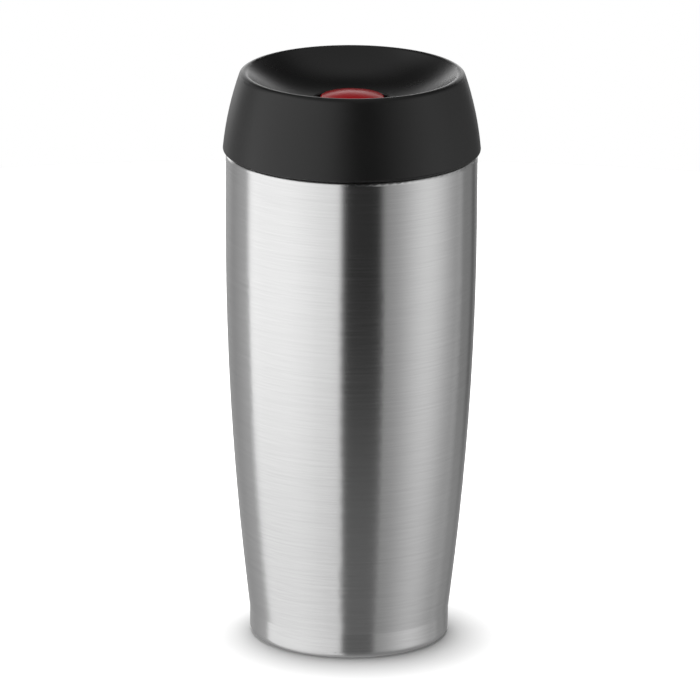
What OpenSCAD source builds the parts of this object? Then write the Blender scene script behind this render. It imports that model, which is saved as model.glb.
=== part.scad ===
// Insulated travel mug: a double-wall steel cup with a screw-in lid.
// The push button in the middle of the lid opens a valve that lets the drink out all round.
// Millimetres. The origin is the centre of the resting face, and +Z runs up the axis of the mug.

/* [Mug] */
// Height from the resting face to the drinking rim
overall_h = 190; // [186:0.5:200]
// Radius of the straight upper part of the steel body
body_r = 41; // [40.6:0.1:41.4]
// Radius of the base band, which drops into a car cup holder
base_r = 32.7; // [32.4:0.1:33.5]
// Height of the base band
band_h = 8.4; // [8:0.1:11]
// Height at which the barrel curve of the body runs out into the straight upper part
barrel_top_z = 140; // [130:1:145]
// Thickness of the steel sheet
sheet_t = 0.6; // [0.5:0.05:0.7]
// Width of the evacuated gap between the two walls
vacuum_gap = 3; // [2.4:0.1:3.4]

/* [Lid] */
// Height of the lid, from its lower edge to the drinking rim
lid_h = 26.2; // [25.8:0.1:26.8]
// Radius of the lower edge of the lid
lid_r = 42; // [41.8:0.1:42.4]
// Wall thickness of the lid cover
cover_t = 1.9; // [1.7:0.1:2]
// Radius of the rounded drinking rim
rim_round = 1.8; // [1.4:0.1:2]
// Radius of the opening in the floor of the drinking bowl
bowl_hole_r = 12.8; // [12.6:0.1:14]

/* [Thread] */
// Rise of the lid in one full turn
thread_lead = 12; // [10:0.5:13]
// Number of beads round the neck, and of lugs on the lid
thread_starts = 3; // [3:1:3]

/* [Valve] */
// Travel of the button and of the valve
press_travel = 4; // [3:0.5:4]
// Radius of the push button
button_r = 10.4; // [10:0.1:10.6]
// Turn of the cam rotor over one press, in degrees
rotor_step = 45; // [40:1:45]

/* [Hidden] */
$fn = 96;
curve_fn = 1440;             // steps in the largest circles, of which only a short arc is used
overlap = 0.4;               // depth by which a feature is sunk into its wall so that the two fuse
reach = 1;                   // length by which a cutter runs out past the face that it cuts
press_gap = 0.02;            // clearance of a pressed joint
seal_gap = 0.1;              // clearance of a soft seal beside its walls

// Steel body
corner_r = 2.4;              // outer radius of the turned-in foot
foot_in_r = 28.9;            // inner radius of the foot ring
foot_lip_h = 3;              // height of the lip turned up inside the foot
lid_z = overall_h - lid_h;   // lower edge of the lid
lid_gap = 0.3;               // shadow gap between the lid and the shoulder of the body
shoulder_z = lid_z - lid_gap;
shoulder_r = 1.3;
neck_r = 37.6;               // outer radius of the neck that the lid covers
neck_root_r = 0.8;
mouth_z = shoulder_z + 8.5;  // top of the neck
barrel_drop = body_r - base_r;
barrel_h = barrel_top_z - band_h;
barrel_r = round(50 * (barrel_h * barrel_h + barrel_drop * barrel_drop) / barrel_drop) / 100;
barrel_c = [body_r - barrel_r, barrel_top_z];

// Inner liner
liner_off = 2 * sheet_t + vacuum_gap;
neck_gap = 0.05;             // clearance between the two walls at the neck
liner_neck_r = neck_r - 2 * sheet_t - neck_gap;
liner_floor_z = 13;
liner_corner_r = 8;
liner_reach = barrel_r - liner_off - liner_corner_r;
liner_corner_z = liner_floor_z + liner_corner_r;
liner_corner_x = barrel_c[0] + sqrt(liner_reach * liner_reach - pow(barrel_top_z - liner_corner_z, 2));
neck_cone_z = shoulder_z - 2;
neck_cone_h = 5;

// Bottom of the body
vacuum_bottom_z = 5;
vacuum_rim_h = 3;
base_cover_z = 2.4;
base_cover_lip_z = 0.8;      // lower edge of the lip turned down round the base cover
port_r = 1.5;                // evacuation port
braze_r = 4;                 // bead of braze that closes the port
braze_h = 0.9;
liner_under_z = liner_floor_z - sheet_t;
getter_r = 4;
getter_t = 2;
getter_z = liner_under_z - 3;
clip_t = 0.4;                // floor of the clip that carries the getter
clip_wall = 0.55;
clip_gap = 0.05;
clip_claw = 0.8;             // the clip's floor reaches this far under the getter

// Lid cover
cover_curve_r = 107;
cover_lean = 5.5;            // lean of the cover wall at its lower edge, in degrees
cover_edge = 0.8;
bowl_top_slope = 40;
bowl_low_slope = 6;
hole_edge = 0.6;
flange_z = mouth_z + 1.3;    // underside of the insert's flange, on top of the mouth gasket
flange_t = 1.8;
flange_r = 38.3;
snap_r = 37.85;              // inner radius of the snap bead under the flange
snap_gap = 0.1;
snap_face_h = 0.6;           // height of the inner face of the snap bead
snap_fall = 0.3;             // slope of its upper face, from the root down to the tip
snap_root_h = 2.9;
cover_roof_z = overall_h - 6.2;  // highest level of the hollow
cover_sleeve_h = 1.8;        // the sleeve round the chimney reaches this far below the flange
rib_count = 8;
rib_t = 1.4;
sleeve_in_r = bowl_hole_r + 2;
sleeve_out_r = bowl_hole_r + 3.4;

// Lid insert
insert_r = 34.6;
insert_t = 2;
insert_edge = 1.5;           // outer radius of the insert's lower edge
insert_floor_z = mouth_z - 21.4;
seat_z = insert_floor_z - 1; // lower end of the chimney, which the valve closes
chimney_r = bowl_hole_r + 1.8;
chimney_top_z = mouth_z + 2.5;
collar_z = chimney_top_z + 1.5;

// Valve guide, a tube on spokes in a ring that is pressed into the chimney
guide_in_r = 6.6;
guide_out_r = 8.2;
guide_floor_z = seat_z + 6.4;
guide_floor_t = 1.6;
guide_top_z = mouth_z + 4.8;
spoke_count = 4;
spoke_t = 1.8;
spoke_h = 8;
spoke_z = guide_floor_z + 3;
guide_ring_t = 1.1;
seal_pocket_r = 4.6;
seal_pocket_h = 2.6;
seal_pocket_t = 1.6;

// Seals
stem_r = 2.5;
gasket_h = 2.4;              // height of the gasket's skirt inside the mouth
gasket_taper = 0.5;          // the skirt's lower edge is narrower by this much
gasket_taper_h = 0.8;
gasket_gap = 0.25;
chimney_seal_gap = 0.2;
retainer_lip_t = 0.6;
retainer_gap = 0.3;
retainer_bite = 0.2;         // the retainer's plug is rooted this deep in its lip
stem_seal_r = (seal_pocket_r - stem_r - seal_gap) / 2;

// Thread
bead_span = 84;
lug_span = 40;
bead_z = mouth_z - 5.8;      // height of a bead at the middle of its span
bead_depth = 1.2;
bead_h = [1.6, 1];           // height of a bead at its root and at its tip
lug_depth = 1.3;
lug_h = [1.5, 1];
lug_below_bead = 1.5;        // a lug runs this far below the bead that holds it
lug_start = 12;              // angle of a lug behind the middle of its bead

// Valve and push-push cam
stem_clearance = 0.08;
valve_r = 16.6;
valve_seal_t = 1.2;
valve_seal_inset = 0.2;
valve_t = 1.8;
valve_edge = 0.8;
valve_top_z = seat_z - valve_seal_t;
valve_foot_z = valve_top_z - valve_t;
valve_lip_r = min(12.4, bowl_hole_r - 0.4);
valve_lip_t = 1;
valve_lip_h = 0.9;
hub_r = 5;
hub_h = 4;
screw_r = 1.25;
screw_hole_gap = 0.2;
screw_bore_h = 8;
screw_l = 6;
screw_head_r = 2.6;
screw_head_h = 1.5;
screw_slot_w = 0.7;
screw_slot_l = 3.4;
screw_slot_h = 0.8;
spring_foot_z = guide_floor_z + guide_floor_t;
spring_l = 8.6;
spring_head_z = spring_foot_z + spring_l;
spring_mid_r = 4.2;
wire_r = 0.35;
coil_turns = 5;
coil_steps = 16;
wire_sides = 8;
collar_t = 1.2;
pin_r = 2;
cam_r = 5.4;
cam_rib_r = 6.4;
cam_rib_w = 1.6;
cam_count = 4;
cam_sleeve_in_r = 5.6;
rotor_z = spring_head_z + collar_t;
rotor_h = 5.1;
tooth_h = 0.8;
tooth_count = 8;
tooth_mouth = 0.2;           // a cut between two teeth starts this far outside the face
cam_gap = 0.1;               // clearance between the faces of the cam
pin_short = 0.5;             // the rotor's pin ends this far below the rotor's top
slot_gap = 0.3;              // a slot is wider than its rib by this much
slot_head_gap = 1;           // room above the plunger's ribs in their slots
ramp_head_gap = 0.4;         // room above the rotor's ribs at the head of the ramp
ramp_margin = 10;            // angle at the head of the ramp, in degrees
rotor_rib_lift = 0.8;
rotor_rib_z = rotor_z + rotor_rib_lift;
rotor_rib_h = 3.2;
cam_sleeve_z = rotor_rib_z - cam_gap;
plunger_z = rotor_z + rotor_h + cam_gap;
plunger_rib_lift = 0.4;
plunger_rib_h = 2.4;
plunger_top_z = guide_top_z + 3;

// Button
button_edge_z = overall_h - 8.1;
button_dome = 1.5;
button_round = 0.7;
button_in_r = guide_out_r + 0.6;
button_skirt_z = guide_top_z - 2.4;
button_roof_z = button_edge_z - 0.8;
button_boss_r = 3.6;
button_round_c = [button_r - button_round, button_edge_z - button_round];
dome_rise = button_dome + button_round;
dome_span = button_round_c[0];
dome_r = (dome_span * dome_span + dome_rise * dome_rise - button_round * button_round) / (2 * button_dome);

// Lid cover: centres of its outer curve, its rounded rim, its bowl and the rounded edge of the bowl's hole
cover_bend_r = cover_curve_r - cover_edge;
cover_edge_c = [lid_r - cover_edge, lid_z + cover_edge];
cover_c = cover_edge_c - cover_bend_r * [cos(cover_lean), sin(cover_lean)];
rim_z = overall_h - rim_round;
rim_a = asin((rim_z - cover_c[1]) / (cover_curve_r - rim_round));
rim_c = [cover_c[0] + (cover_curve_r - rim_round) * cos(rim_a), rim_z];
hole_edge_x = bowl_hole_r + hole_edge;
bowl_r = (rim_c[0] - hole_edge_x - rim_round * sin(bowl_top_slope) - hole_edge * sin(bowl_low_slope))
    / (sin(bowl_top_slope) - sin(bowl_low_slope));
bowl_c = rim_c + (rim_round + bowl_r) * [-sin(bowl_top_slope), cos(bowl_top_slope)];
hole_edge_z = bowl_c[1] - (bowl_r + hole_edge) * cos(bowl_low_slope);

// Half profile of the body's outer face, moved inwards by off and ended at height top
module body_profile(off, top) {
    translate([0, off])
        square([base_r - corner_r, corner_r]);
    translate([base_r - corner_r, corner_r])
        circle(r = corner_r - off);
    translate([0, corner_r])
        square([base_r - off, band_h - corner_r + overlap]);
    intersection() {
        translate(barrel_c)
            circle(r = barrel_r - off, $fn = curve_fn);
        translate([0, band_h - overlap])
            square([body_r, barrel_h + overlap]);
    }
    translate([0, barrel_top_z])
        square([body_r - off, shoulder_z - shoulder_r - barrel_top_z]);
    translate([0, barrel_top_z])
        square([body_r - shoulder_r, shoulder_z - off - barrel_top_z]);
    translate([body_r - shoulder_r, shoulder_z - shoulder_r])
        circle(r = shoulder_r - off);
    translate([0, barrel_top_z])
        square([neck_r - off, top - barrel_top_z]);
    difference() {
        translate([neck_r - off - overlap, shoulder_z - off])
            square([neck_root_r + off + overlap, neck_root_r + off]);
        translate([neck_r + neck_root_r, shoulder_z + neck_root_r])
            circle(r = neck_root_r + off);
    }
}

// Half profile of the liner's inner face, moved outwards by off and ended at height top
module liner_profile(off, top) {
    wall_r = barrel_r - liner_off + off;
    touch_z = barrel_top_z - wall_r * (barrel_top_z - liner_corner_z) / liner_reach;
    difference() {
        polygon([[0, liner_floor_z - off], [body_r - liner_off + off, liner_floor_z - off],
            [body_r - liner_off + off, neck_cone_z - neck_cone_h], [liner_neck_r + off, neck_cone_z],
            [liner_neck_r + off, top], [0, top]]);
        difference() {
            translate([liner_corner_x, 0])
                square([body_r, barrel_top_z]);
            translate(barrel_c)
                circle(r = wall_r, $fn = curve_fn);
        }
        difference() {
            translate([liner_corner_x, 0])
                square([body_r, touch_z]);
            translate([liner_corner_x, liner_corner_z])
                circle(r = liner_corner_r + off);
        }
    }
}

// Half profile of the lid cover without its hollow
module cover_profile() {
    edge_touch_z = cover_c[1] + cover_curve_r * sin(cover_lean);
    rim_touch_z = rim_z + rim_round * sin(rim_a);
    bowl_touch = rim_c + rim_round * [-sin(bowl_top_slope), cos(bowl_top_slope)];
    hole_touch_x = hole_edge_x - hole_edge * sin(bowl_low_slope);
    difference() {
        union() {
            intersection() {
                translate(cover_c)
                    circle(r = cover_curve_r, $fn = curve_fn);
                translate([hole_touch_x, edge_touch_z])
                    square([lid_r, rim_touch_z - edge_touch_z]);
            }
            translate([hole_touch_x, lid_z])
                square([lid_r - cover_edge - hole_touch_x, 2 * cover_edge]);
            translate(cover_edge_c)
                circle(r = cover_edge);
            translate([hole_touch_x, rim_z - rim_round])
                square([bowl_touch[0] - hole_touch_x, bowl_touch[1] - rim_z + rim_round]);
            translate(rim_c)
                circle(r = rim_round);
            translate([bowl_hole_r, lid_z])
                square([hole_edge, hole_edge_z - lid_z]);
            translate([hole_edge_x, hole_edge_z])
                circle(r = hole_edge);
        }
        translate(bowl_c)
            circle(r = bowl_r, $fn = curve_fn);
    }
}

// Half profile of the hollow of the lid cover, which leaves the snap bead and the sleeve round the chimney
module cover_hollow() {
    snap_tip_z = flange_z - snap_gap - snap_fall;
    difference() {
        intersection() {
            translate(cover_c)
                circle(r = cover_curve_r - cover_t, $fn = curve_fn);
            translate([sleeve_out_r, lid_z - reach])
                square([lid_r, cover_roof_z - lid_z + reach]);
        }
        translate(bowl_c)
            circle(r = bowl_r + cover_t, $fn = curve_fn);
        polygon([[snap_r, snap_tip_z - snap_face_h], [snap_r, snap_tip_z], [lid_r - 1, flange_z - snap_gap],
            [lid_r - 1, flange_z - snap_gap - snap_root_h]]);
    }
}

// Ring of rectangular section
module ring(r_in, r_out, z0, z1) {
    translate([0, 0, z0])
        difference() {
            cylinder(r = r_out, h = z1 - z0);
            if (r_in > 0)
                translate([0, 0, -reach])
                    cylinder(r = r_in, h = z1 - z0 + 2 * reach);
        }
}

// Child repeated round the axis
module around(count, from = 0) {
    for (i = [0 : count - 1])
        rotate([0, 0, from + 360 * i / count])
            children();
}

// Short stretch of thread, with its middle at angle 0: an arc of a ring, tilted to climb with the lead.
// r_root is sunk in the wall and r_tip stands free. The section is h[0] tall at the root and h[1] at the tip.
module thread_arc(r_root, r_tip, h, span) {
    climb = atan(thread_lead / (PI * (r_root + r_tip)));
    rotate([climb, 0, 0])
        rotate([0, 0, -span / 2])
            rotate_extrude(angle = span)
                polygon([[r_root, -h[0] / 2], [r_tip, -h[1] / 2], [r_tip, h[1] / 2], [r_root, h[0] / 2]]);
}

// Cutters for a ring of V teeth in the face at height 0, opening towards +Z if up is 1, or -Z if up is -1
module tooth_gaps(up) {
    half_w = PI * cam_r / tooth_count;
    around(tooth_count)
        rotate([90, 0, 90])
            linear_extrude(height = cam_r + reach)
                polygon([[0, -up * tooth_h], [-half_w, up * tooth_mouth], [half_w, up * tooth_mouth]]);
}

// Cylinder with four guide ribs, the rubbing part of the plunger and of the rotor
module ribbed_core(h, rib_z, rib_h) {
    cylinder(r = cam_r, h = h);
    around(cam_count)
        translate([cam_r - overlap, -cam_rib_w / 2, rib_z])
            cube([cam_rib_r - cam_r + overlap, cam_rib_w, rib_h]);
}

module outer_shell() {
    color([0.72, 0.72, 0.73])
        rotate_extrude($fn = 180) {
            difference() {
                body_profile(0, mouth_z - sheet_t);
                body_profile(sheet_t, mouth_z + reach);
                translate([-reach, -reach])
                    square([foot_in_r + reach, corner_r + reach]);
            }
            translate([foot_in_r, 0])
                square([sheet_t, foot_lip_h]);
        }
}

module inner_liner() {
    color([0.78, 0.78, 0.79]) {
        rotate_extrude($fn = 180) {
            difference() {
                liner_profile(sheet_t, mouth_z);
                liner_profile(0, mouth_z + reach);
            }
            translate([liner_neck_r, mouth_z - sheet_t])
                square([neck_r - liner_neck_r, sheet_t]);
        }
        around(thread_starts)
            translate([0, 0, bead_z])
                thread_arc(liner_neck_r + overlap, liner_neck_r - bead_depth, bead_h, bead_span);
    }
}

module vacuum_bottom() {
    rim_r = base_r - sheet_t;
    color([0.7, 0.7, 0.71]) {
        ring(port_r, rim_r, vacuum_bottom_z, vacuum_bottom_z + sheet_t);
        ring(rim_r - sheet_t, rim_r, vacuum_bottom_z + sheet_t / 2, vacuum_bottom_z + vacuum_rim_h);
    }
}

module base_cover() {
    cover_r = foot_in_r - press_gap;
    color([0.72, 0.72, 0.73]) {
        ring(0, cover_r, base_cover_z, base_cover_z + sheet_t);
        ring(cover_r - sheet_t, cover_r, base_cover_lip_z, base_cover_z + sheet_t / 2);
    }
}

module evacuation_seal() {
    cap_r = (braze_r * braze_r + braze_h * braze_h) / (2 * braze_h);
    color([0.35, 0.36, 0.38]) {
        translate([0, 0, vacuum_bottom_z - overlap])
            cylinder(r = port_r, h = sheet_t + overlap);
        intersection() {
            translate([0, 0, vacuum_bottom_z - braze_h + cap_r])
                sphere(r = cap_r);
            translate([0, 0, vacuum_bottom_z - braze_h - reach])
                cylinder(r = braze_r, h = braze_h + reach);
        }
    }
}

module getter() {
    color([0.3, 0.3, 0.32])
        translate([0, 0, getter_z])
            cylinder(r = getter_r, h = getter_t);
}

module getter_clip() {
    clip_in_r = getter_r + clip_gap;
    clip_out_r = clip_in_r + clip_wall;
    color([0.65, 0.65, 0.66]) {
        ring(clip_in_r, clip_out_r, getter_z - clip_t, liner_under_z);
        ring(getter_r - clip_claw, clip_out_r, getter_z - clip_t, getter_z);
    }
}

module lid_cover() {
    sleeve_z = flange_z - cover_sleeve_h;
    color([0.06, 0.06, 0.06])
        difference() {
            rotate_extrude($fn = 180)
                cover_profile();
            difference() {
                rotate_extrude()
                    cover_hollow();
                around(rib_count)
                    translate([sleeve_in_r, -rib_t / 2, flange_z + flange_t])
                        cube([lid_r, rib_t, lid_h]);
            }
            translate([0, 0, lid_z - reach])
                cylinder(r = sleeve_out_r + overlap, h = sleeve_z - lid_z + reach);
            translate([0, 0, lid_z])
                cylinder(r = sleeve_in_r, h = collar_z - lid_z);
        }
}

module lid_insert() {
    wall_in_r = insert_r - insert_t;
    edge = insert_edge;
    color([0.2, 0.2, 0.21]) {
        ring(bowl_hole_r, chimney_r, seat_z, chimney_top_z);
        ring(chimney_r - overlap, insert_r - edge, insert_floor_z, insert_floor_z + insert_t);
        rotate_extrude() {
            intersection() {
                translate([insert_r - edge, insert_floor_z + edge])
                    circle(r = edge);
                translate([wall_in_r, insert_floor_z])
                    square([insert_t, insert_t]);
            }
            translate([wall_in_r, insert_floor_z + edge])
                square([insert_t, flange_z + flange_t - insert_floor_z - edge]);
            translate([wall_in_r, flange_z])
                square([flange_r - wall_in_r, flange_t]);
        }
        around(thread_starts, -lug_start)
            translate([0, 0, bead_z - lug_below_bead - thread_lead * lug_start / 360])
                thread_arc(insert_r - overlap, insert_r + lug_depth, lug_h, lug_span);
    }
}

module valve_guide() {
    ring_r = bowl_hole_r - press_gap;
    color([0.2, 0.2, 0.21]) {
        ring(guide_in_r, guide_out_r, guide_floor_z, guide_top_z);
        ring(stem_r + stem_clearance, guide_in_r + overlap, guide_floor_z, spring_foot_z);
        ring(seal_pocket_r, seal_pocket_r + seal_pocket_t,
            guide_floor_z - seal_pocket_h, guide_floor_z + overlap);
        ring(ring_r - guide_ring_t, ring_r, spoke_z, spoke_z + spoke_h);
        around(spoke_count, 180 / spoke_count)
            translate([guide_out_r - overlap, -spoke_t / 2, spoke_z])
                cube([ring_r - guide_ring_t - guide_out_r + 2 * overlap, spoke_t, spoke_h]);
    }
}

module mouth_gasket() {
    in_r = insert_r + seal_gap;
    lip_r = liner_neck_r - gasket_gap;
    out_r = neck_r + seal_gap;
    foot_z = mouth_z - gasket_h;
    color([0.35, 0.35, 0.36])
        rotate_extrude()
            polygon([[in_r, foot_z], [lip_r - gasket_taper, foot_z], [lip_r, foot_z + gasket_taper_h],
                [lip_r, mouth_z], [out_r, mouth_z], [out_r, flange_z], [in_r, flange_z]]);
}

module chimney_seal() {
    color([0.8, 0.8, 0.8])
        ring(bowl_hole_r + chimney_seal_gap, sleeve_in_r - seal_gap, chimney_top_z, collar_z);
}

// Fixed cam: slots hold the ribs, and each slot widens along a ramp that lets a rotor rib turn as it sinks
module cam_sleeve() {
    slot_w = cam_rib_w + slot_gap;
    slot_top_z = plunger_z + plunger_rib_h + slot_head_gap;
    mid_r = (cam_sleeve_in_r + guide_in_r) / 2;
    aim = rotor_step / 2;
    ramp_z = rotor_rib_z + rotor_rib_h;
    ramp_turn = rotor_step * (ramp_z - cam_sleeve_z) / press_travel;
    near_x = mid_r * sin(-aim);
    head_x = mid_r * sin(ramp_margin - aim);
    foot_x = mid_r * sin(ramp_margin + ramp_turn - aim);
    color([0.9, 0.9, 0.88])
        difference() {
            ring(cam_sleeve_in_r, guide_in_r, cam_sleeve_z, guide_top_z);
            around(cam_count)
                union() {
                    translate([0, -slot_w / 2, cam_sleeve_z - reach])
                        cube([guide_in_r + reach, slot_w, slot_top_z - cam_sleeve_z + reach]);
                    rotate([0, 0, aim])
                        rotate([90, 0, 90])
                            linear_extrude(height = guide_in_r + reach)
                                polygon([[near_x, cam_sleeve_z - reach], [near_x, ramp_z + ramp_head_gap],
                                    [head_x, ramp_z + ramp_head_gap], [foot_x, cam_sleeve_z],
                                    [foot_x, cam_sleeve_z - reach]]);
                }
        }
}

module stem_seal() {
    color([0.55, 0.1, 0.08])
        translate([0, 0, guide_floor_z - stem_seal_r])
            rotate_extrude()
                translate([(stem_r + seal_pocket_r) / 2, 0])
                    circle(r = stem_seal_r, $fn = 32);
}

module seal_retainer() {
    in_r = stem_r + retainer_gap;
    lip_z = guide_floor_z - seal_pocket_h;
    plug_top_z = guide_floor_z - 2 * stem_seal_r - press_gap;
    color([0.85, 0.85, 0.83]) {
        ring(in_r, seal_pocket_r - press_gap, lip_z - retainer_bite, plug_top_z);
        ring(in_r, seal_pocket_r + seal_pocket_t, lip_z - retainer_lip_t - retainer_bite, lip_z);
    }
}

module push_button() {
    dome_c = [0, button_edge_z + button_dome - dome_r];
    dome_touch_x = dome_span * dome_r / (dome_r - button_round);
    color([0.62, 0.06, 0.07])
        rotate_extrude($fn = 128) {
            difference() {
                union() {
                    intersection() {
                        translate(dome_c)
                            circle(r = dome_r, $fn = curve_fn);
                        translate([0, button_round_c[1]])
                            square([dome_touch_x, dome_rise + reach]);
                    }
                    translate(button_round_c)
                        circle(r = button_round);
                    translate([0, button_skirt_z])
                        square([button_r, button_round_c[1] - button_skirt_z]);
                }
                translate([0, button_skirt_z - reach])
                    square([button_in_r, button_roof_z - button_skirt_z + reach]);
            }
            translate([0, plunger_top_z])
                square([button_boss_r, button_roof_z - plunger_top_z]);
        }
}

module plunger() {
    color([0.93, 0.93, 0.9])
        translate([0, 0, plunger_z])
            difference() {
                ribbed_core(plunger_top_z - plunger_z, plunger_rib_lift, plunger_rib_h);
                tooth_gaps(-1);
            }
}

module cam_rotor() {
    color([0.85, 0.87, 0.9])
        translate([0, 0, rotor_z])
            difference() {
                ribbed_core(rotor_h, rotor_rib_lift, rotor_rib_h);
                translate([0, 0, rotor_h])
                    rotate([0, 0, 180 / tooth_count])
                        tooth_gaps(1);
                translate([0, 0, -reach])
                    cylinder(r = pin_r + stem_clearance, h = rotor_h + 2 * reach);
            }
}

// Compression spring, swept as one closed skin: half a closed turn at each end and even turns between
module return_spring() {
    steps = coil_turns * coil_steps;
    height = spring_l - 2 * wire_r;
    closed_rise = 1.1 * wire_r;
    open_rise = (height - 2 * closed_rise) / (coil_turns - 1);
    function rise(turn) = turn < 0.5 ? 2 * closed_rise * turn
        : turn > coil_turns - 0.5 ? height - 2 * closed_rise * (coil_turns - turn)
        : closed_rise + open_rise * (turn - 0.5);
    skin = [for (i = [0 : steps]) for (k = [0 : wire_sides - 1])
        let (a = 360 * i / coil_steps, b = 360 * k / wire_sides, r = spring_mid_r + wire_r * cos(b))
        [r * cos(a), r * sin(a), spring_foot_z + wire_r + rise(i / coil_steps) + wire_r * sin(b)]];
    sides = [for (i = [0 : steps - 1]) for (k = [0 : wire_sides - 1])
        let (p = i * wire_sides, q = p + wire_sides, n = (k + 1) % wire_sides)
        [p + k, p + n, q + n, q + k]];
    first = [for (k = [wire_sides - 1 : -1 : 0]) k];
    last = [for (k = [0 : wire_sides - 1]) steps * wire_sides + k];
    color([0.75, 0.75, 0.77])
        polyhedron(skin, concat(sides, [first, last]));
}

module valve_stem() {
    stem_foot_z = valve_top_z - overlap;
    color([0.9, 0.9, 0.88])
        difference() {
            union() {
                translate([0, 0, stem_foot_z])
                    cylinder(r = stem_r, h = spring_head_z - stem_foot_z + overlap);
                ring(0, hub_r, spring_head_z, rotor_z);
                translate([0, 0, rotor_z - overlap])
                    cylinder(r = pin_r, h = rotor_h - pin_short + overlap);
            }
            translate([0, 0, stem_foot_z - reach])
                cylinder(r = screw_r, h = screw_bore_h);
        }
}

module valve_disc() {
    edge = valve_edge;
    color([0.25, 0.25, 0.26])
        difference() {
            rotate_extrude() {
                translate([0, valve_foot_z])
                    square([valve_r - edge, valve_t]);
                translate([0, valve_foot_z + edge])
                    square([valve_r, valve_t - edge]);
                translate([valve_r - edge, valve_foot_z + edge])
                    circle(r = edge);
                translate([valve_lip_r - valve_lip_t, valve_foot_z + edge])
                    square([valve_lip_t, valve_t - edge + valve_lip_h]);
                translate([0, valve_foot_z])
                    square([hub_r, valve_t + hub_h]);
            }
            translate([0, 0, valve_top_z - overlap])
                cylinder(r = stem_r, h = hub_h + reach);
            translate([0, 0, valve_foot_z - reach])
                cylinder(r = screw_r + screw_hole_gap, h = valve_t + reach);
        }
}

module valve_seal() {
    color([0.75, 0.75, 0.75])
        ring(valve_lip_r, valve_r - valve_seal_inset, valve_top_z, seat_z);
}

module valve_screw() {
    head_z = valve_foot_z - screw_head_h;
    color([0.7, 0.7, 0.72])
        difference() {
            union() {
                translate([0, 0, head_z])
                    cylinder(r = screw_head_r, h = screw_head_h);
                translate([0, 0, valve_foot_z - overlap])
                    cylinder(r = screw_r - press_gap, h = screw_l + overlap);
            }
            for (turn = [0, 90])
                rotate([0, 0, turn])
                    translate([-screw_slot_w / 2, -screw_slot_l / 2, head_z - reach])
                        cube([screw_slot_w, screw_slot_l, screw_slot_h + reach]);
        }
}

outer_shell();
inner_liner();
vacuum_bottom();
base_cover();
evacuation_seal();
getter();
getter_clip();
lid_cover();
lid_insert();
valve_guide();
mouth_gasket();
chimney_seal();
cam_sleeve();
stem_seal();
seal_retainer();
push_button();
plunger();
return_spring();
valve_stem();
valve_disc();
valve_seal();
valve_screw();
cam_rotor();
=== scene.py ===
"""Insulated travel mug: finishes, return spring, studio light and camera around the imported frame."""

import math

import bmesh
import bpy
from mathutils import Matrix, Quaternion, Vector


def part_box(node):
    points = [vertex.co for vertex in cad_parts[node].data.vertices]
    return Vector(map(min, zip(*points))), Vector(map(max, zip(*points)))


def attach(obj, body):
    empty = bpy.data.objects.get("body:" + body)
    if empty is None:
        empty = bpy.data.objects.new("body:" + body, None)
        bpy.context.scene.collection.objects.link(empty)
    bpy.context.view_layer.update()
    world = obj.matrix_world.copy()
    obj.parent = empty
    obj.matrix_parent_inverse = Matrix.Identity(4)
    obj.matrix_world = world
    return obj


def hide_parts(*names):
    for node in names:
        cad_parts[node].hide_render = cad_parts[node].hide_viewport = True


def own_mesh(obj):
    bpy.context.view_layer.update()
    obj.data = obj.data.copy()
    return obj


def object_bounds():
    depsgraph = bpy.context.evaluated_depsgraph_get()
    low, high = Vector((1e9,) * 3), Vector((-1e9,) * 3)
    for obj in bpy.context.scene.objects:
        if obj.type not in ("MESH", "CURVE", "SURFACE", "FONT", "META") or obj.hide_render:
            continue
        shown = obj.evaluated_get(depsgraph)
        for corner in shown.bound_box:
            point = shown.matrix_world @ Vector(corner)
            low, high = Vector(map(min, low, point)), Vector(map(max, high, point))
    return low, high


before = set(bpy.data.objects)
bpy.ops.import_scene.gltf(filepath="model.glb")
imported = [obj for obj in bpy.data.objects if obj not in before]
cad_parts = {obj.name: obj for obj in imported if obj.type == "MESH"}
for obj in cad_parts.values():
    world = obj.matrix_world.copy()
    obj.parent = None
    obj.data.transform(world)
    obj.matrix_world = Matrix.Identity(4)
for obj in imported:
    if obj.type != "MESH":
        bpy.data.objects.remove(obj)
cad_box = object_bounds()
MM = 0.001
WHITE = (1.0, 1.0, 1.0, 1.0)

# ---------------------------------------------------------------- camera
CAMERA_ELEVATION = math.radians(16.2)         # above the horizon
CAMERA_ROLL = math.radians(0.35)              # the mug's top leans to the right
CAMERA_DISTANCE = 2.833                       # from the aim point
CAMERA_LENS = 444.7                           # mm
SENSOR_WIDTH = 36.0                           # mm
AIM_OFFSET = Vector((-0.0002, 0.0, 0.0009))   # aim point from the middle of the CAD box

# ---------------------------------------------------------------- studio
# Soft cards on a dark sphere round the mug. Angles are degrees: azimuth from the camera's side, positive to
# the right, and height above the horizon. Each card falls softly to nothing across its edge.
ALL_ROUND = 360
CARDS = {
    # name: (azimuth, half width, edge, height, half height, edge, strength)
    "key": (-59, 50, 5, -10, 60, 30, 1.05),
    "key_core": (-80, 45, 60, 0, 50, 30, 0.32),
    "side_step": (75, 46, 8, 4, 40, 48, 0.40),
    "side": (75, 22, 44, 4, 40, 48, 0.61),
    "side_edge": (132, 14, 8, -16, 45, 40, 0.25),
    "back": (-172, 30, 16, 5, 13, 14, 1.3),
    "back_fill": (-155, 50, 30, -30, 50, 40, 0.28),
    "back_high": (-103, 26, 30, 46, 14, 24, 0.35),
    "top": (0, ALL_ROUND, 1, 90, 36, 24, 0.34),
    "ground": (0, ALL_ROUND, 1, -90, 35, 30, 0.2),
}
DARK_LEVEL = 0.02                         # light of the sphere between the cards
FLOOR_RADIUS = 0.6
FLOOR_SIDES = 128
FLOOR_COLOUR = (0.6, 0.6, 0.6, 1.0)
MIRRORED_FLOOR = 0.52                     # light of the floor as glossy surfaces mirror it
MIRRORED_SHARE = 0.3                      # how much of the floor they mirror; the rest is the cards
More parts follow.
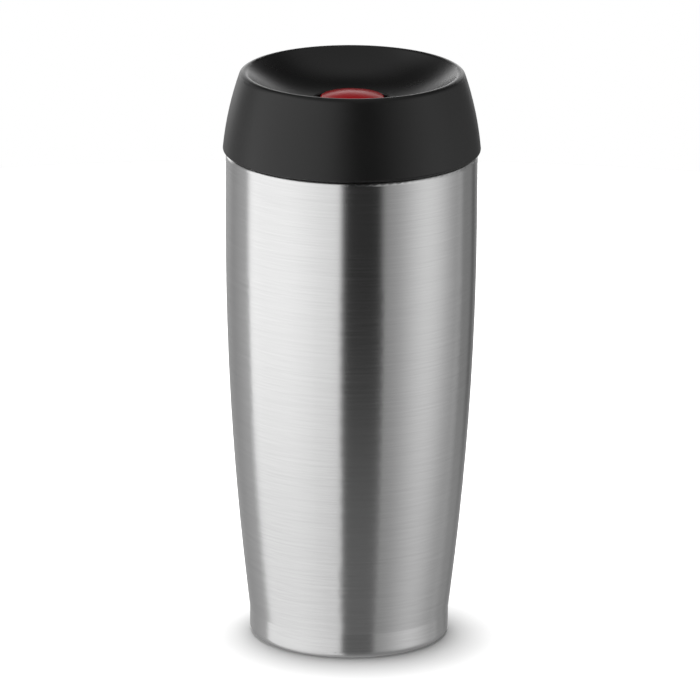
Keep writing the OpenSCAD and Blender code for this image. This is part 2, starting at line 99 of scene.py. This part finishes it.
MIRRORED_NEAR = (0.12, 0.34)              # the share falls to nothing between these distances from the axis
OVERHEAD_SIZE = 0.6
OVERHEAD_PLACE = (-0.015, 0.095, 1.6)
OVERHEAD_POWER = 62.0                     # W

# ---------------------------------------------------------------- surface detail
# Ranges are (lowest, highest). A noise range holds the values that are spread over a surface's variation.
STEEL_NOISE = (0.35, 0.65)
STEEL_HAIRS = (2.5, 4200.0)               # cells per radian round the axis, and cells per metre along it
STEEL_BANDS = (1.2, 1500.0)
STEEL_HAIR_SHARE = 0.5                    # of the grain; the bands are the rest
STEEL_HAIR_DEPTH = 0.0008 * MM
STEEL_SHADE = (0.95, 1.05)
STEEL_ROUGHNESS_SPREAD = 0.02
OUTWARD_SHARE = 0.7                       # what a step outwards counts beside a step along the axis
QUARTER_TURN = 0.25                       # lays the highlights of brushed steel across the brushing

CLOUD_NOISE = (0.3, 0.7)
CAST_LUMPS = 0.6                          # cells per grain
CAST_SHADE = (0.75, 1.15)
CAST_ROUGHNESS_SPREAD = (-0.1, 0.15)

MOULDED_CLOUD = 0.05 / MM                 # cells per metre
MOULDED_SHADE = (0.92, 1.08)
MOULDED_ROUGHNESS_SPREAD = 0.03
MOULDED_EDGE = 0.15 * MM
GLOW_DEPTH = 1.5 * MM
BEVEL_SAMPLES = 4

LID_GRAIN = 0.16 * MM
LID_GRAIN_DEPTH = 0.006 * MM
LID_CLOUD = 0.04 / MM                     # cells per metre
LID_SHADE = (0.9, 1.1)
LID_ROUGHNESS_SPREAD = 0.02
WALL_STARTS = (0.2 * MM, 1.2 * MM)        # outside the crest of the rim, where the bowl turns into the wall
# Painted light: the bowl's colour is made lighter than the wall's, standing in for light that falls in the
# bowl
BOWL_TO_WALL_PAINTED_LIGHT = (2.4, 1.0)
BOWL_TO_WALL_ROUGHNESS = (0.28, 0.38)
BOWL_TO_WALL_SPECULAR = (0.5, 0.4)


class Nodes:
    """A node tree under construction. Inputs may be numbers, tuples or another node's output."""

    def __init__(self, tree):
        self.tree = tree
        tree.nodes.clear()

    def feed(self, socket, value):
        if isinstance(value, bpy.types.NodeSocket):
            self.tree.links.new(value, socket)
        else:
            socket.default_value = value

    def add(self, kind, inputs=None, **settings):
        node = self.tree.nodes.new(kind)
        for key, value in settings.items():
            setattr(node, key, value)
        for key, value in (inputs or {}).items():
            self.feed(node.inputs[key], value)
        return node

    def math(self, operation, *values):
        return self.add("ShaderNodeMath", dict(enumerate(values)), operation=operation).outputs[0]

    def vector(self, operation, *values):
        return self.add("ShaderNodeVectorMath", dict(enumerate(values)), operation=operation).outputs[0]

    def scaled(self, vector, factor):
        inputs = {"Vector": vector, "Scale": factor}
        return self.add("ShaderNodeVectorMath", inputs, operation="SCALE").outputs["Vector"]

    def length(self, vector):
        return self.add("ShaderNodeVectorMath", {0: vector}, operation="LENGTH").outputs["Value"]

    def split(self, vector):
        return self.add("ShaderNodeSeparateXYZ", {"Vector": vector}).outputs

    def ramp(self, value, start, end, low, high, smooth=False):
        """low where the value is start, high where it is end, and between them in between."""
        kind = "SMOOTHSTEP" if smooth else "LINEAR"
        inputs = {"Value": value, "From Min": start, "From Max": end, "To Min": low, "To Max": high}
        return self.add("ShaderNodeMapRange", inputs, interpolation_type=kind).outputs["Result"]

    def noise(self, vector, scale, detail=2.0, roughness=0.5):
        inputs = {"Vector": vector, "Scale": scale, "Detail": detail, "Roughness": roughness}
        return self.add("ShaderNodeTexNoise", inputs).outputs["Fac"]

    def bump(self, height, distance, normal=None):
        inputs = {"Height": height, "Distance": distance}
        if normal is not None:
            inputs["Normal"] = normal
        return self.add("ShaderNodeBump", inputs).outputs["Normal"]

    def rounded_normal(self, radius):
        return self.add("ShaderNodeBevel", {"Radius": radius}, samples=BEVEL_SAMPLES).outputs["Normal"]

    def point(self):
        """Place in the frame, which moves with the piece."""
        return self.add("ShaderNodeTexCoord").outputs["Object"]

    def across_axis(self, point):
        """The part of a place that is square to the axis."""
        return self.vector("MULTIPLY", point, (1.0, 1.0, 0.0))

    def turned_point(self, around, along):
        """Seamless coordinates of a turned part: cells per radian round the axis, and per metre along it."""
        point = self.point()
        flat = self.across_axis(point)
        ring = self.scaled(self.vector("NORMALIZE", flat), around)
        run = self.math("MULTIPLY_ADD", self.length(flat), OUTWARD_SHARE, self.split(point)["Z"])
        lift = self.add("ShaderNodeCombineXYZ", {"Z": self.math("MULTIPLY", run, along)}).outputs[0]
        return self.vector("ADD", ring, lift)

    def mixed(self, share, first, second):
        """The first shader, with a share of the second."""
        return self.add("ShaderNodeMixShader", {0: share, 1: first.outputs[0], 2: second.outputs[0]})

    def finish(self, shader, kind="ShaderNodeOutputMaterial"):
        self.add(kind, {"Surface": shader.outputs[0]})


def new_material(name):
    material = bpy.data.materials.new(name)
    material.use_nodes = True
    return material, Nodes(material.node_tree)


def new_object(name, data):
    thing = bpy.data.objects.new(name, data)
    bpy.context.scene.collection.objects.link(thing)
    return thing


def mesh_object(name, mesh, material):
    """A finished bmesh as an object in the scene."""
    data = bpy.data.meshes.new(name)
    mesh.to_mesh(data)
    mesh.free()
    data.materials.append(material)
    return new_object(name, data)


# ---------------------------------------------------------------- materials
def brushed_steel(name, colour, roughness, anisotropy):
    """Stainless steel brushed round the axis: hairline scratches over slower bands."""
    material, nodes = new_material(name)
    hairs = nodes.noise(nodes.turned_point(*STEEL_HAIRS), 1.0, detail=2.0, roughness=0.6)
    bands = nodes.noise(nodes.turned_point(*STEEL_BANDS), 1.0, detail=3.0, roughness=0.7)
    hair_part = nodes.math("MULTIPLY", hairs, STEEL_HAIR_SHARE)
    grain = nodes.math("MULTIPLY_ADD", bands, 1.0 - STEEL_HAIR_SHARE, hair_part)
    smoothest, roughest = roughness - STEEL_ROUGHNESS_SPREAD, roughness + STEEL_ROUGHNESS_SPREAD
    surface = nodes.add("ShaderNodeBsdfPrincipled", {
        "Base Color": nodes.scaled(colour, nodes.ramp(grain, *STEEL_NOISE, *STEEL_SHADE)),
        "Metallic": 1.0,
        "Roughness": nodes.ramp(grain, *STEEL_NOISE, smoothest, roughest),
        "Anisotropic": anisotropy,
        "Anisotropic Rotation": QUARTER_TURN,
        "Tangent": nodes.add("ShaderNodeTangent", direction_type="RADIAL", axis="Z").outputs[0],
        "Normal": nodes.bump(hairs, STEEL_HAIR_DEPTH),
    })
    nodes.finish(surface)
    return material


def cast_metal(name, colour, roughness, grain_size, depth):
    """Unworked metal, such as braze or a sintered pellet: dull lumps that change in shade and gloss."""
    material, nodes = new_material(name)
    lumps = nodes.noise(nodes.point(), CAST_LUMPS / grain_size, detail=5.0, roughness=0.65)
    smoothest, roughest = (roughness + step for step in CAST_ROUGHNESS_SPREAD)
    surface = nodes.add("ShaderNodeBsdfPrincipled", {
        "Base Color": nodes.scaled(colour, nodes.ramp(lumps, *CLOUD_NOISE, *CAST_SHADE)),
        "Metallic": 1.0,
        "Roughness": nodes.ramp(lumps, *CLOUD_NOISE, smoothest, roughest),
        "Normal": nodes.bump(lumps, depth),
    })
    nodes.finish(surface)
    return material


def moulded(name, colour, roughness, grain_size=0.12 * MM, depth=0.004 * MM, glow=0.0, specular=0.5):
    """Moulded plastic or silicone: spark-eroded grain, slow changes of gloss and slightly round edges."""
    material, nodes = new_material(name)
    point = nodes.point()
    grain = nodes.noise(point, 1.0 / grain_size, detail=2.0, roughness=0.6)
    cloud = nodes.noise(point, MOULDED_CLOUD, detail=3.0)
    smoothest, roughest = roughness - MOULDED_ROUGHNESS_SPREAD, roughness + MOULDED_ROUGHNESS_SPREAD
    surface = nodes.add("ShaderNodeBsdfPrincipled", {
        "Base Color": nodes.scaled(colour, nodes.ramp(cloud, *CLOUD_NOISE, *MOULDED_SHADE)),
        "Roughness": nodes.ramp(cloud, *CLOUD_NOISE, smoothest, roughest),
        "Specular IOR Level": specular,
        "Normal": nodes.bump(grain, depth, nodes.rounded_normal(MOULDED_EDGE)),
        "Subsurface Weight": glow,
        "Subsurface Scale": GLOW_DEPTH,
    })
    nodes.finish(surface)
    return material


def crest_radius():
    """Distance from the axis to the highest line of the drinking rim."""
    crest = max(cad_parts["lid_cover"].data.vertices, key=lambda vertex: vertex.co.z).co
    return math.hypot(crest.x, crest.y)


def lid_plastic(name, colour):
    """Black lid: a soft-touch matt outside, and a smoother satin bowl inside the drinking rim, whose colour
    is painted lighter than the wall's as painted light.
    """
    material, nodes = new_material(name)
    point = nodes.point()
    grain = nodes.noise(point, 1.0 / LID_GRAIN, detail=2.0, roughness=0.6)
    cloud = nodes.noise(point, LID_CLOUD, detail=3.0)
    wall_start, wall_end = (crest_radius() + step for step in WALL_STARTS)
    outside = nodes.ramp(nodes.length(nodes.across_axis(point)), wall_start, wall_end, 0.0, 1.0, smooth=True)

    def by_place(bowl, wall):
        return nodes.ramp(outside, 0.0, 1.0, bowl, wall)

    # The cloud's random tone, times painted light that lightens the bowl
    shade = nodes.math("MULTIPLY", nodes.ramp(cloud, *CLOUD_NOISE, *LID_SHADE), by_place(*BOWL_TO_WALL_PAINTED_LIGHT))
    gloss_change = nodes.ramp(cloud, *CLOUD_NOISE, -LID_ROUGHNESS_SPREAD, LID_ROUGHNESS_SPREAD)
    surface = nodes.add("ShaderNodeBsdfPrincipled", {
        "Base Color": nodes.scaled(colour, shade),
        "Roughness": nodes.math("ADD", by_place(*BOWL_TO_WALL_ROUGHNESS), gloss_change),
        "Specular IOR Level": by_place(*BOWL_TO_WALL_SPECULAR),
        "Normal": nodes.bump(nodes.math("MULTIPLY", grain, outside), LID_GRAIN_DEPTH),
    })
    nodes.finish(surface)
    return material


FINISHES = {
    "brushed_body_steel": brushed_steel("brushed_body_steel", (0.62, 0.62, 0.62), 0.25, anisotropy=0.9),
    "liner_steel": brushed_steel("liner_steel", (0.60, 0.60, 0.60), 0.24, anisotropy=0.6),
    "hidden_steel": brushed_steel("hidden_steel", (0.55, 0.55, 0.55), 0.34, anisotropy=0.4),
    "braze": cast_metal("braze", (0.42, 0.40, 0.36), 0.38, 0.8 * MM, depth=0.08 * MM),
    "getter_metal": cast_metal("getter_metal", (0.28, 0.28, 0.29), 0.6, 0.15 * MM, depth=0.03 * MM),
    "black_plastic": lid_plastic("black_plastic", (0.004, 0.004, 0.004)),
    "dark_plastic": moulded("dark_plastic", (0.014, 0.014, 0.015), 0.38),
    "valve_plastic": moulded("valve_plastic", (0.02, 0.02, 0.021), 0.34),
    "grey_silicone": moulded("grey_silicone", (0.16, 0.16, 0.165), 0.5, glow=0.2, specular=0.35),
    "clear_silicone": moulded("clear_silicone", (0.62, 0.63, 0.62), 0.42, glow=0.5, specular=0.4),
    "red_silicone": moulded("red_silicone", (0.42, 0.02, 0.015), 0.45, glow=0.2, specular=0.4),
    "white_acetal": moulded("white_acetal", (0.74, 0.73, 0.70), 0.33, glow=0.3),
    "blue_white_acetal": moulded("blue_white_acetal", (0.58, 0.66, 0.74), 0.33, glow=0.3),
    "red_plastic": moulded("red_plastic", (0.53, 0.006, 0.012), 0.24, depth=0.001 * MM, specular=0.36),
    "spring_steel": brushed_steel("spring_steel", (0.55, 0.55, 0.55), 0.22, anisotropy=0.0),
    "screw_steel": brushed_steel("screw_steel", (0.52, 0.52, 0.51), 0.3, anisotropy=0.3),
}

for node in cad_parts.values():
    for material_slot in node.material_slots:
        material_slot.material = FINISHES[material_slot.material.name.split(".")[0]]


# ---------------------------------------------------------------- return spring
SPRING_TURNS = 5
SPRING_WIRE = 0.35 * MM           # radius of the wire
SPRING_CLOSED_PITCH = 1.1         # of the half turn at each end, in diameters of the wire
SPRING_STEPS = 40                 # steps in one turn
SPRING_SIDES = 14                 # sides of the wire
SPRING_ROUNDED = 4                # steps over which the wire's ends are rounded
spring_low, spring_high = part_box("return_spring")


def spring_height(turn):
    """Height of the wire's middle: half a closed turn at each end, and even turns between."""
    closed = SPRING_CLOSED_PITCH * SPRING_WIRE
    length = spring_high.z - spring_low.z - 2 * SPRING_WIRE
    if turn < 0.5:
        return 2 * closed * turn
    if turn > SPRING_TURNS - 0.5:
        return length - 2 * closed * (SPRING_TURNS - turn)
    return closed + (length - 2 * closed) * (turn - 0.5) / (SPRING_TURNS - 1)


def spring_ring(mesh, step, last_step):
    """The corners of the wire's section at one step of the coil."""
    turn = step / SPRING_STEPS
    angle = math.tau * turn
    outward = Vector((math.cos(angle), math.sin(angle), 0.0))
    middle = outward * (spring_high.x - SPRING_WIRE)
    middle.z = spring_low.z + SPRING_WIRE + spring_height(turn)
    from_end = min(step, last_step - step)
    thickness = SPRING_WIRE * math.sin(math.pi / 2 * min(1.0, (from_end + 1) / SPRING_ROUNDED))
    ring = []
    for side in range(SPRING_SIDES):
        around = math.tau * side / SPRING_SIDES
        offset = outward * math.cos(around) + Vector((0.0, 0.0, math.sin(around)))
        ring.append(mesh.verts.new(middle + offset * thickness))
    return ring


def return_spring():
    """Round wire in place of the faceted one, with rounded ends."""
    mesh = bmesh.new()
    last_step = SPRING_TURNS * SPRING_STEPS
    rings = [spring_ring(mesh, step, last_step) for step in range(last_step + 1)]
    for ring, following in zip(rings, rings[1:]):
        for side in range(SPRING_SIDES):
            after = (side + 1) % SPRING_SIDES
            mesh.faces.new((ring[side], ring[after], following[after], following[side]))
    mesh.faces.new(reversed(rings[0]))
    mesh.faces.new(rings[-1])
    bmesh.ops.recalc_face_normals(mesh, faces=mesh.faces)
    for face in mesh.faces:
        face.smooth = len(face.verts) == 4
    return mesh_object("return_spring_wire", mesh, FINISHES["spring_steel"])


spring_wire = return_spring()
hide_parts("return_spring")
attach(spring_wire, "lid")
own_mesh(spring_wire)


# ---------------------------------------------------------------- light and floor
def floor_material():
    """Pale and matt. Glossy surfaces near it mirror it faintly, and from below it can be looked through."""
    material, nodes = new_material("pale_floor")
    matt = nodes.add("ShaderNodeBsdfDiffuse", {"Color": FLOOR_COLOUR})
    clear = nodes.add("ShaderNodeBsdfTransparent")
    pale = nodes.add("ShaderNodeEmission", {"Strength": MIRRORED_FLOOR})
    share = nodes.ramp(nodes.length(nodes.point()), *MIRRORED_NEAR, MIRRORED_SHARE, 0.0, smooth=True)
    in_a_mirror = nodes.add("ShaderNodeLightPath").outputs["Is Glossy Ray"]
    from_above = nodes.mixed(in_a_mirror, matt, nodes.mixed(share, clear, pale))
    towards_viewer = nodes.split(nodes.add("ShaderNodeNewGeometry").outputs["Incoming"])["Z"]
    viewer_below = nodes.math("LESS_THAN", towards_viewer, 0.0)
    nodes.finish(nodes.mixed(viewer_below, from_above, clear))
    material.cycles.emission_sampling = "NONE"
    return material


def floor():
    disc = bmesh.new()
    bmesh.ops.create_circle(disc, cap_ends=True, segments=FLOOR_SIDES, radius=FLOOR_RADIUS)
    sheet = mesh_object("floor", disc, floor_material())
    return sheet


def overhead_light(sheet):
    """A softbox above, for the floor alone, so that the mug stands in a close soft shadow."""
    data = bpy.data.lights.new("overhead", "AREA")
    data.shape = "DISK"
    data.size = OVERHEAD_SIZE
    data.energy = OVERHEAD_POWER
    light = new_object("overhead", data)
    light.location = OVERHEAD_PLACE
    light.visible_camera = False
    lit = bpy.data.collections.new("lit_by_overhead")
    lit.objects.link(sheet)
    light.light_linking.receiver_collection = lit


def card_window(nodes, value, middle, half, edge):
    """1 within half of the middle, falling softly to 0 across the edge. Angles in degrees."""
    offset = nodes.math("SUBTRACT", value, math.radians(middle))
    away = nodes.math("ABSOLUTE", nodes.math("WRAP", offset, math.pi, -math.pi))
    inner, outer = math.radians(half - edge / 2), math.radians(half + edge / 2)
    return nodes.ramp(away, inner, outer, 1.0, 0.0, smooth=True)


def studio():
    """The cards shine on the mug, and the camera sees plain white behind it."""
    world = bpy.data.worlds.new("studio")
    bpy.context.scene.world = world
    world.use_nodes = True
    nodes = Nodes(world.node_tree)
    direction = nodes.split(nodes.add("ShaderNodeTexCoord").outputs["Generated"])
    azimuth = nodes.math("ARCTAN2", direction["X"], nodes.math("MULTIPLY", direction["Y"], -1.0))
    height = nodes.math("ARCSINE", direction["Z"])
    level = DARK_LEVEL
    for turn, half_turn, turn_edge, lift, half_lift, lift_edge, strength in CARDS.values():
        across = card_window(nodes, azimuth, turn, half_turn, turn_edge)
        upright = card_window(nodes, height, lift, half_lift, lift_edge)
        level = nodes.math("MULTIPLY_ADD", nodes.math("MULTIPLY", across, upright), strength, level)
    light = nodes.add("ShaderNodeBackground", {"Strength": level, "Color": WHITE})
    backdrop = nodes.add("ShaderNodeBackground", {"Strength": 1.0, "Color": WHITE})
    to_camera = nodes.add("ShaderNodeLightPath").outputs["Is Camera Ray"]
    nodes.finish(nodes.mixed(to_camera, light, backdrop), "ShaderNodeOutputWorld")


def camera(low, high):
    """The photograph's viewing angle, aimed near the middle of the box."""
    data = bpy.data.cameras.new("camera")
    data.lens = CAMERA_LENS
    data.sensor_width = SENSOR_WIDTH
    viewer = new_object("camera", data)
    back = Vector((0.0, -math.cos(CAMERA_ELEVATION), math.sin(CAMERA_ELEVATION)))
    viewer.location = (low + high) / 2 + AIM_OFFSET + back * CAMERA_DISTANCE
    viewer.rotation_mode = "QUATERNION"
    viewer.rotation_quaternion = (-back).to_track_quat("-Z", "Y") @ Quaternion((0, 0, 1), CAMERA_ROLL)
    bpy.context.scene.camera = viewer


overhead_light(floor())
studio()
camera(*cad_box)
bpy.context.scene.view_settings.view_transform = "Standard"
